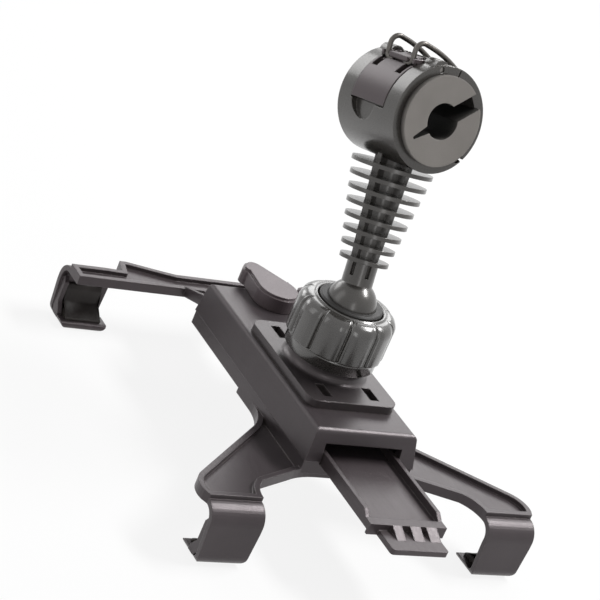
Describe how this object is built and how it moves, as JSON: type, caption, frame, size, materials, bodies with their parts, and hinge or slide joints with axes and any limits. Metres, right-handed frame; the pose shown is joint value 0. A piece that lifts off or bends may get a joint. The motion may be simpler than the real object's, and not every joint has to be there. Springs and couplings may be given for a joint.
{
  "type": "headrest tablet mount",
  "caption": "Headrest tablet mount: a lever clamp for the headrest post, a finned ball-jointed stem with a locking collar, and a sliding holder with four padded claws",
  "frame": {"origin": "on the plane of the tablet's back, straight below the ball joint", "axes": "X across the housing to the right, Y along the sliding rail towards the upper claws, Z away from the tablet towards the headrest clamp"},
  "size_m": [0.1486, 0.1975, 0.1763],
  "materials": {
    "moulded_grey": "fine-grained satin moulding, dark warm grey",
    "stem_black": "smooth semi-gloss moulding, near black",
    "dark_lever": "satin moulding, dark grey",
    "grey_insert": "matt mid-grey soft moulding",
    "black_pad": "matt black rubber",
    "dark_steel": "dark zinc-coated wire and screws"
  },
  "bodies": {
    "holder": {"lower_bracket": "moulded_grey", "rear_housing": "moulded_grey", "housing_screws": "dark_steel", "socket_base": "moulded_grey", "base_screws": "dark_steel", "stop_post": "dark_lever", "pad_lower_left": "black_pad", "pad_lower_right": "black_pad", "lever_spring": "dark_steel"},
    "slider": {"upper_bracket": "moulded_grey", "pad_upper_left": "black_pad", "pad_upper_right": "black_pad"},
    "lever": {"release_lever": "dark_lever", "lock_cam": "dark_lever", "lever_screw": "dark_steel"},
    "collar": {"collar_nut": "stem_black"},
    "seat": {"ball_cup": "black_pad", "friction_ring": "black_pad"},
    "stem": {"clamp_stem": "stem_black", "post_insert": "grey_insert", "jaw_pin": "dark_steel", "latch_pin": "dark_steel"},
    "jaw": {"clamp_jaw": "stem_black"},
    "latch": {"latch_lever": "stem_black"},
    "bail": {"wire_bail": "dark_steel"}
  },
  "joints": [
    {"name": "slider_slide", "type": "slide", "parent": "holder", "child": "slider", "axis": [0, 1, 0], "range_m": [0, 0.038]},
    {"name": "lever_turn", "type": "hinge", "parent": "holder", "child": "lever", "pos_m": [0.002, 0.05, 0.0208], "axis": [0, 0, -1], "range_deg": [0, 52]},
    {"name": "collar_spin", "type": "hinge", "parent": "holder", "child": "collar", "pos_m": [0, 0, 0.0392], "axis": [0, 0, 1], "continuous": true},
    {"name": "seat_swivel", "type": "hinge", "parent": "holder", "child": "seat", "pos_m": [0, 0, 0.0516], "axis": [0, 0, 1], "continuous": true},
    {"name": "stem_tilt", "type": "hinge", "parent": "seat", "child": "stem", "pos_m": [0, 0, 0.0516], "axis": [-0.9744, 0.225, 0], "range_deg": [-52, 22]},
    {"name": "latch_turn", "type": "hinge", "parent": "stem", "child": "latch", "pos_m": [0.0009, 0.02626, 0.14342], "axis": [-0.0438, 0.9606, -0.2743], "range_deg": [0, 85]},
    {"name": "bail_turn", "type": "hinge", "parent": "latch", "child": "bail", "pos_m": [-0.00557, 0.02567, 0.14239], "axis": [-0.0438, 0.9606, -0.2743], "range_deg": [-114.75, 0]},
    {"name": "jaw_turn", "type": "hinge", "parent": "stem", "child": "jaw", "pos_m": [0.0181, 0.01808, 0.11203], "axis": [-0.0438, 0.9606, -0.2743], "range_deg": [0, 29.75]}
  ],
  "couplings": [
    {"joint": "bail_turn", "follows": "latch_turn", "ratio": -1.35},
    {"joint": "jaw_turn", "follows": "latch_turn", "ratio": 0.35}
  ]
}
